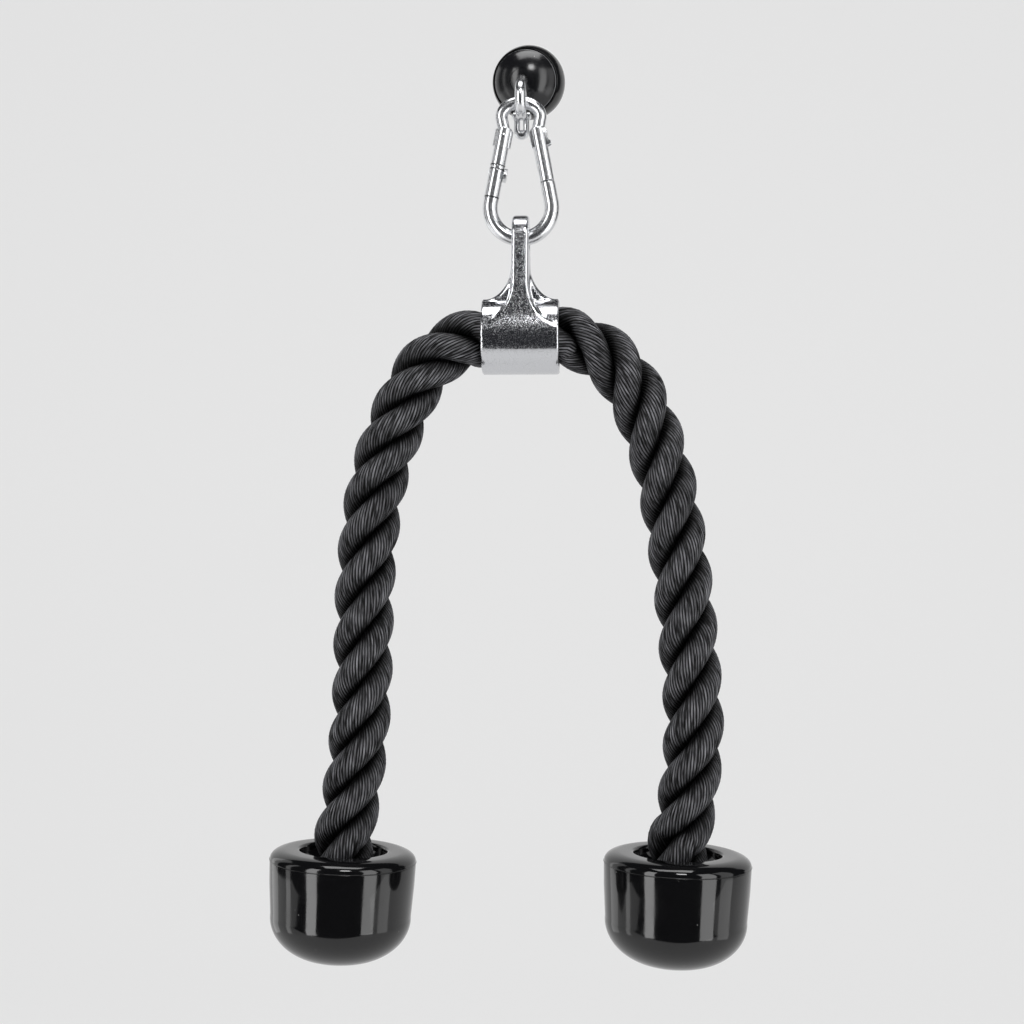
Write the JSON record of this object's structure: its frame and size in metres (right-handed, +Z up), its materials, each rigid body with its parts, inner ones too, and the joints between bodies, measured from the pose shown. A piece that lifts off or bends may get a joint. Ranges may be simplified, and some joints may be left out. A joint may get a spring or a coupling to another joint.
{
  "type": "triceps rope attachment",
  "caption": "Thick black rope through a plated yoke, with moulded end caps, hung by a spring hook from the eye of a cable ball stop.",
  "frame": {"origin": "centre of the hole in the back of the ball stop where the cable enters", "axes": "+Z up, -Y towards the user, X across the two legs of the rope"},
  "size_m": [0.2543, 0.0897, 0.4948],
  "materials": {
    "ball_rubber": "gloss black moulded",
    "ball_dome": "polished black",
    "plated_steel": "bright zinc plated",
    "spring_steel": "drawn wire",
    "chrome_casting": "chrome over a cast skin",
    "rope": "three-strand laid rope",
    "cap_moulding": "gloss smoky black"
  },
  "bodies": {
    "ball": {"ball_stop": "ball_rubber", "ball_face": "ball_dome"},
    "eye": {"cable_eye": "plated_steel", "cable_ferrule": "plated_steel"},
    "hook": {"carabiner_body": "plated_steel", "spine_pin": "plated_steel", "gate_rivet": "plated_steel"},
    "gate": {"carabiner_gate": "plated_steel", "gate_latch_pin": "plated_steel", "gate_spring": "spring_steel"},
    "plunger": {"gate_plunger": "spring_steel"},
    "yoke": {"yoke": "chrome_casting", "rope_in_yoke": "rope"},
    "left_leg": {"rope_left_bend": "rope", "rope_left_leg": "rope", "rope_left_end": "rope", "left_cap_cup": "cap_moulding", "left_cap_cover": "cap_moulding", "left_rope_clamp": "plated_steel", "left_rope_washer": "plated_steel"},
    "right_leg": {"rope_right_bend": "rope", "rope_right_leg": "rope", "rope_right_end": "rope", "right_cap_cup": "cap_moulding", "right_cap_cover": "cap_moulding", "right_rope_clamp": "plated_steel", "right_rope_washer": "plated_steel"}
  },
  "joints": [
    {"name": "eye_turn", "type": "hinge", "parent": "ball", "child": "eye", "pos_m": [-0.00275, -0.01838, -0.00395], "axis": [-0.1446, -0.9674, -0.2079], "continuous": true},
    {"name": "hook_swing", "type": "hinge", "parent": "eye", "child": "hook", "pos_m": [-0.00564, -0.04943, -0.02311], "axis": [1, 0, 0], "range_deg": [-45, 45]},
    {"name": "gate_hinge", "type": "hinge", "parent": "hook", "child": "gate", "pos_m": [0.00376, -0.04943, -0.04151], "axis": [0, 1, 0], "range_deg": [0, 25], "stiffness_Nm_per_rad": 0.12, "springref_deg": -17.19},
    {"name": "plunger_slide", "type": "slide", "parent": "gate", "child": "plunger", "axis": [0.1892, 0, -0.9819], "range_m": [0, 0.0013], "deforming": ["gate_spring"]},
    {"name": "yoke_swing", "type": "hinge", "parent": "hook", "child": "yoke", "pos_m": [-0.00564, -0.04943, -0.09581], "axis": [1, 0, 0], "range_deg": [-60, 60]},
    {"name": "left_leg_bend", "type": "hinge", "parent": "yoke", "child": "left_leg", "pos_m": [-0.04664, -0.04943, -0.15641], "axis": [0, 1, 0], "range_deg": [-8, 45], "stiffness_Nm_per_rad": 0.25, "springref_deg": 39.19, "deforming": ["rope_left_bend"]},
    {"name": "right_leg_bend", "type": "hinge", "parent": "yoke", "child": "right_leg", "pos_m": [0.03536, -0.04943, -0.15641], "axis": [0, -1, 0], "range_deg": [-8, 45], "stiffness_Nm_per_rad": 0.25, "springref_deg": 32.09, "deforming": ["rope_right_bend"]}
  ],
  "couplings": [
    {"joint": "plunger_slide", "follows": "gate_hinge", "m_per_rad": 0.00253}
  ]
}
